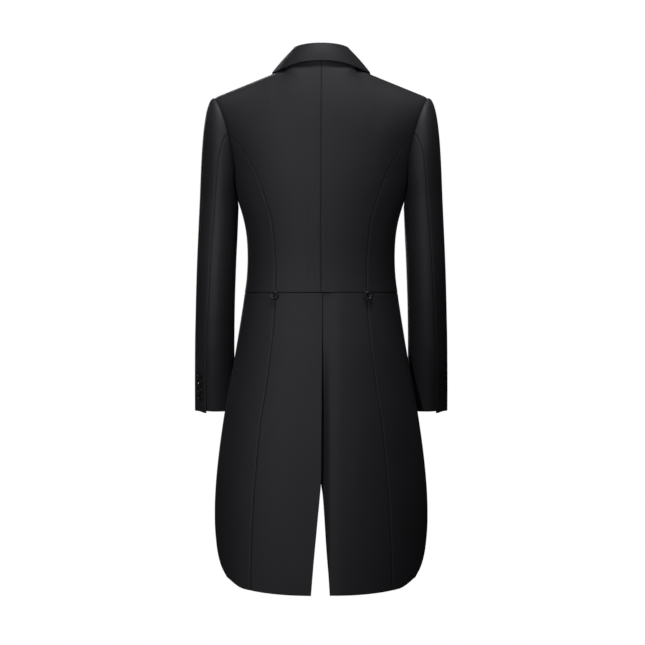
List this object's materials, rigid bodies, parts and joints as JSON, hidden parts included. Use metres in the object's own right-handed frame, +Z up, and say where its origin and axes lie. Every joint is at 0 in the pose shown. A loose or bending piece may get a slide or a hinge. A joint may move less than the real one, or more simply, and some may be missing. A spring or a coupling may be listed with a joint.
{
  "type": "white tie tailcoat",
  "caption": "Hollow worn-form evening tailcoat with peaked lapels, cut-away front, long round-cornered tails, centre vent and straight sleeves.",
  "frame": {"origin": "middle of the neck opening, 6 mm above the nape seam, where the wearer's neck and shoulders carry the coat", "axes": "+Z up, -Y towards the coat's front, +X towards the wearer's left"},
  "size_m": [0.5228, 0.2892, 1.1177],
  "materials": {
    "black_wool": "fine smooth wool cloth, faint sheen",
    "black_silk": "satin",
    "black_horn": "polished"
  },
  "bodies": {
    "root": {"back_left": "black_wool", "side_body_left": "black_wool", "front_left": "black_wool", "tail_back_left": "black_wool", "tail_side_left": "black_wool", "topsleeve_left": "black_wool", "undersleeve_left": "black_wool", "lapel_left": "black_silk", "back_button_left": "black_silk", "front_button_left_1": "black_silk", "front_button_left_2": "black_silk", "front_button_left_3": "black_silk", "cuff_button_left_1": "black_horn", "cuff_button_left_2": "black_horn", "cuff_button_left_3": "black_horn", "cuff_button_left_4": "black_horn", "back_right": "black_wool", "side_body_right": "black_wool", "front_right": "black_wool", "tail_back_right": "black_wool", "tail_side_right": "black_wool", "topsleeve_right": "black_wool", "undersleeve_right": "black_wool", "lapel_right": "black_silk", "back_button_right": "black_silk", "front_button_right_1": "black_silk", "front_button_right_2": "black_silk", "front_button_right_3": "black_silk", "cuff_button_right_1": "black_horn", "cuff_button_right_2": "black_horn", "cuff_button_right_3": "black_horn", "cuff_button_right_4": "black_horn", "collar": "black_wool"}
  },
  "joints": []
}
